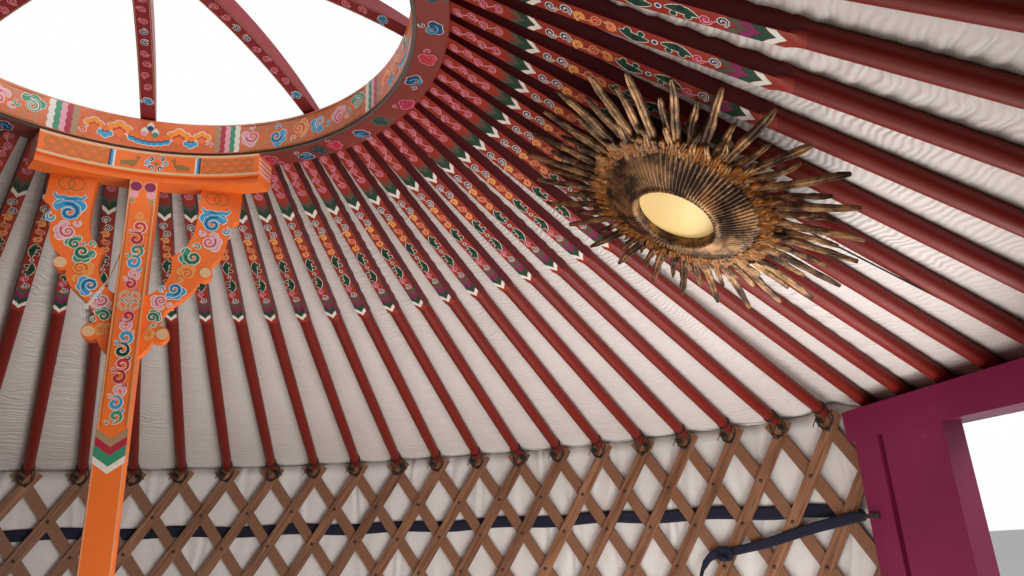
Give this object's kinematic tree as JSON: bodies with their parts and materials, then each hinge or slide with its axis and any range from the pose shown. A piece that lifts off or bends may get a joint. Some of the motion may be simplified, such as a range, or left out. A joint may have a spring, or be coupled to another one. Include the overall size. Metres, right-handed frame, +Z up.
{
  "type": "yurt",
  "caption": "Round felt-covered lattice tent with painted roof poles, a crown ring on two posts, a wide door frame and a sunburst lamp.",
  "frame": {"origin": "middle of the footprint, on the ground; the crown's centre lies 138 mm from it towards the door, at Y -138 mm", "axes": "+Z up, the door faces -Y, +X to the right seen from outside the door"},
  "size_m": [5.7492, 5.4728, 3.056],
  "materials": {
    "lath_wood": "planed and darkened with smoke",
    "pole_paint": "brick red gloss paint, patterned near the crown",
    "crown_paint": "orange gloss paint with scrolls and clouds",
    "post_paint": "bright orange gloss paint with carved scrolls",
    "door_paint": "maroon gloss paint, scuffed",
    "liner_cloth": "plain white cotton, gathered",
    "cover_canvas": "white canvas over felt",
    "navy_webbing": "woven band",
    "white_webbing": "woven hair band",
    "black_cord": "braided cord",
    "lamp_bronze": "aged gold",
    "lamp_glass": "warm frosted glass"
  },
  "bodies": {
    "root": {"wall_lattice_1": "lath_wood", "roof_poles_1": "pole_paint", "wall_cover_1": "cover_canvas", "roof_cover_1": "cover_canvas", "wall_lattice_2": "lath_wood", "roof_poles_2": "pole_paint", "wall_cover_2": "cover_canvas", "roof_cover_2": "cover_canvas", "wall_lattice_3": "lath_wood", "roof_poles_3": "pole_paint", "wall_cover_3": "cover_canvas", "roof_cover_3": "cover_canvas", "wall_lattice_4": "lath_wood", "roof_poles_4": "pole_paint", "wall_cover_4": "cover_canvas", "roof_cover_4": "cover_canvas", "door_poles": "pole_paint", "crown_ring": "crown_paint", "crown_spokes": "crown_paint", "crown_hub": "crown_paint", "centre_post_east": "post_paint", "centre_post_west": "post_paint", "post_beam_east": "post_paint", "post_beam_west": "post_paint", "bracket_east_left": "post_paint", "bracket_east_right": "post_paint", "bracket_west_left": "post_paint", "bracket_west_right": "post_paint", "door_lintel": "door_paint", "door_stile_left": "door_paint", "door_stile_right": "door_paint", "door_board_left": "door_paint", "door_board_right": "door_paint", "door_sill": "door_paint", "wall_liner": "liner_cloth", "roof_liner": "liner_cloth", "front_liner": "liner_cloth", "front_cover": "cover_canvas", "inner_belt": "navy_webbing", "outer_belts": "white_webbing", "lamp_rays": "lamp_bronze", "lamp_rim": "lamp_bronze", "lamp_glass": "lamp_glass", "lamp_hangers": "lamp_bronze", "belt_hooks": "lath_wood", "lamp_cord": "black_cord"}
  },
  "joints": []
}
